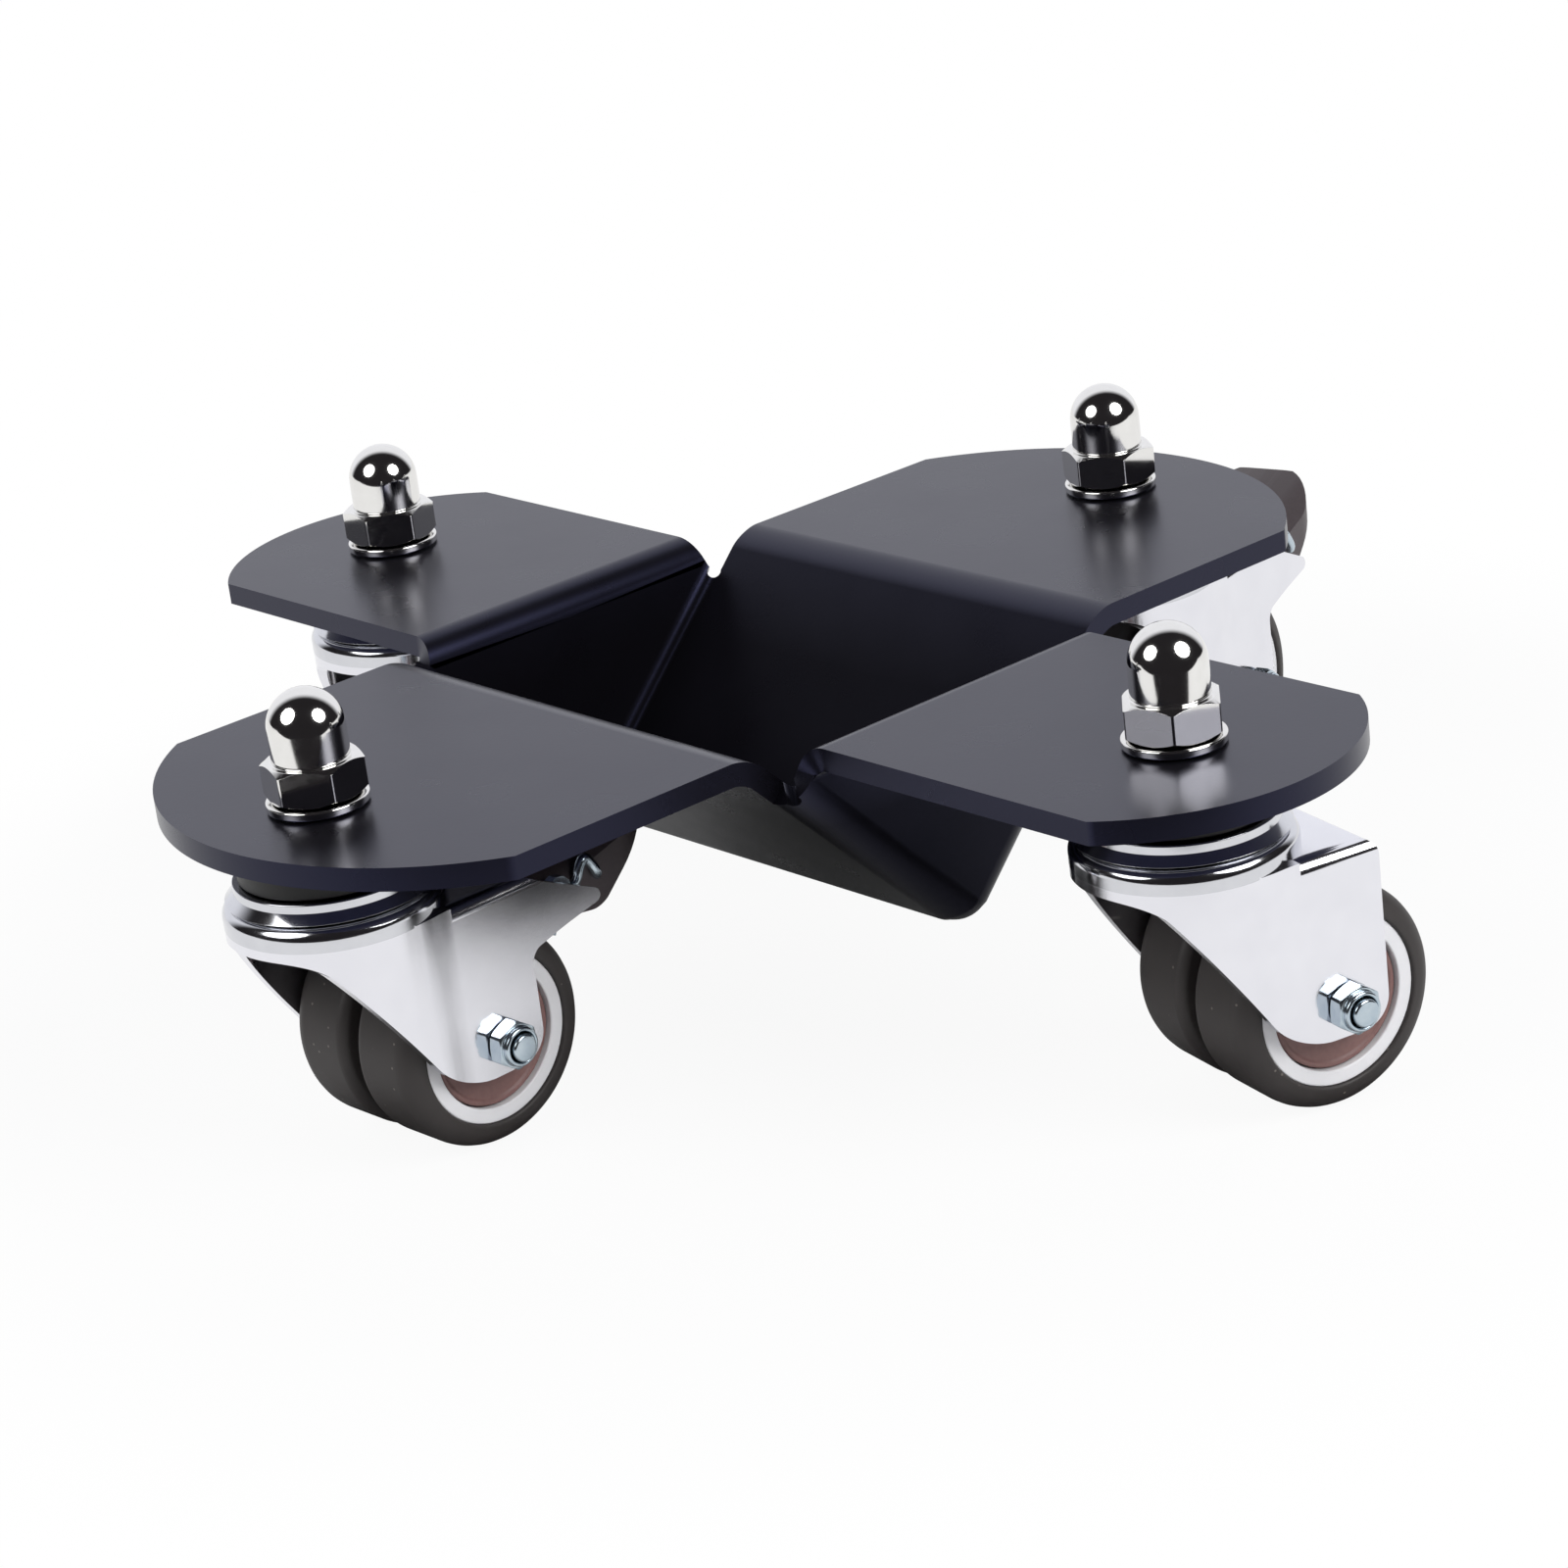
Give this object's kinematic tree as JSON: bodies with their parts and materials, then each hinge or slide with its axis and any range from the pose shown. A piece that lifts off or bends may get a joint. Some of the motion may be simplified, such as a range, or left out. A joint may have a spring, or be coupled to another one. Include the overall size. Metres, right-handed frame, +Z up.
{
  "type": "wheel dolly",
  "caption": "Low wheel dolly: folded black steel plate with a V trough that cradles a tyre, on swivel casters under its ears, some with a foot brake.",
  "frame": {"origin": "on the floor under the middle of the dolly's box, between the four tyres", "axes": "+X along the trough, +Y across it towards the side ear whose brake pedal reaches past the plate, +Z up"},
  "size_m": [0.2744, 0.2804, 0.088],
  "materials": {
    "plate_black": "satin black powder coat",
    "nut_steel": "polished stainless steel",
    "plated_steel": "bright plated pressed steel",
    "zinc_steel": "zinc plated",
    "spacer_black": "moulded black plastic",
    "tyre_taupe": "soft dark taupe rubber",
    "rim_white": "moulded white plastic",
    "hub_brown": "moulded brown plastic",
    "pedal_taupe": "moulded taupe plastic"
  },
  "bodies": {
    "cradle": {"cradle_plate": "plate_black", "front_dome_nut": "nut_steel", "front_washer": "nut_steel", "front_stem": "zinc_steel", "front_spacer": "spacer_black", "front_swivel_cup": "plated_steel", "right_dome_nut": "nut_steel", "right_washer": "nut_steel", "right_stem": "zinc_steel", "right_spacer": "spacer_black", "right_swivel_cup": "plated_steel", "back_dome_nut": "nut_steel", "back_washer": "nut_steel", "back_stem": "zinc_steel", "back_spacer": "spacer_black", "back_swivel_cup": "plated_steel", "left_dome_nut": "nut_steel", "left_washer": "nut_steel", "left_stem": "zinc_steel", "left_spacer": "spacer_black", "left_swivel_cup": "plated_steel"},
    "front_caster_fork": {"front_fork": "plated_steel", "front_ball_race": "zinc_steel", "front_axle_bolt": "zinc_steel", "front_axle_nut": "zinc_steel", "front_axle_sleeve": "zinc_steel", "front_brake_pin": "zinc_steel"},
    "front_wheel": {"front_tyre": "tyre_taupe", "front_rim": "rim_white", "front_hub": "hub_brown"},
    "front_brake": {"front_brake_pedal": "pedal_taupe", "front_brake_shoe": "zinc_steel"},
    "right_caster_fork": {"right_fork": "plated_steel", "right_ball_race": "zinc_steel", "right_axle_bolt": "zinc_steel", "right_axle_nut": "zinc_steel", "right_axle_sleeve": "zinc_steel"},
    "right_wheel": {"right_tyre": "tyre_taupe", "right_rim": "rim_white", "right_hub": "hub_brown"},
    "back_caster_fork": {"back_fork": "plated_steel", "back_ball_race": "zinc_steel", "back_axle_bolt": "zinc_steel", "back_axle_nut": "zinc_steel", "back_axle_sleeve": "zinc_steel", "back_brake_pin": "zinc_steel"},
    "back_wheel": {"back_tyre": "tyre_taupe", "back_rim": "rim_white", "back_hub": "hub_brown"},
    "back_brake": {"back_brake_pedal": "pedal_taupe", "back_brake_shoe": "zinc_steel"},
    "left_caster_fork": {"left_fork": "plated_steel", "left_ball_race": "zinc_steel", "left_axle_bolt": "zinc_steel", "left_axle_nut": "zinc_steel", "left_axle_sleeve": "zinc_steel"},
    "left_wheel": {"left_tyre": "tyre_taupe", "left_rim": "rim_white", "left_hub": "hub_brown"}
  },
  "joints": [
    {"name": "front_swivel", "type": "hinge", "parent": "cradle", "child": "front_caster_fork", "pos_m": [0, -0.11819, 0.0478], "axis": [0, 0, 1], "continuous": true},
    {"name": "front_roll", "type": "hinge", "parent": "front_caster_fork", "child": "front_wheel", "pos_m": [-0.00064, -0.10071, 0.02], "axis": [0.9993, 0.0366, 0], "continuous": true},
    {"name": "front_brake_press", "type": "hinge", "parent": "front_caster_fork", "child": "front_brake", "pos_m": [-0.00136, -0.08104, 0.03921], "axis": [-0.9993, -0.0366, 0], "range_deg": [0, 20]},
    {"name": "right_swivel", "type": "hinge", "parent": "cradle", "child": "right_caster_fork", "pos_m": [0.108, -0.02099, 0.0478], "axis": [0, 0, 1], "continuous": true},
    {"name": "right_roll", "type": "hinge", "parent": "right_caster_fork", "child": "right_wheel", "pos_m": [0.11179, -0.00391, 0.02], "axis": [0.9763, -0.2164, 0], "continuous": true},
    {"name": "back_swivel", "type": "hinge", "parent": "cradle", "child": "back_caster_fork", "pos_m": [0, 0.07621, 0.0478], "axis": [0, 0, 1], "continuous": true},
    {"name": "back_roll", "type": "hinge", "parent": "back_caster_fork", "child": "back_wheel", "pos_m": [-0.00435, 0.09316, 0.02], "axis": [0.9686, 0.2487, 0], "continuous": true},
    {"name": "back_brake_press", "type": "hinge", "parent": "back_caster_fork", "child": "back_brake", "pos_m": [-0.00925, 0.11222, 0.03921], "axis": [-0.9686, -0.2487, 0], "range_deg": [0, 20]},
    {"name": "left_swivel", "type": "hinge", "parent": "cradle", "child": "left_caster_fork", "pos_m": [-0.108, -0.02099, 0.0478], "axis": [0, 0, 1], "continuous": true},
    {"name": "left_roll", "type": "hinge", "parent": "left_caster_fork", "child": "left_wheel", "pos_m": [-0.11164, -0.00388, 0.02], "axis": [0.9781, 0.2079, 0], "continuous": true}
  ]
}
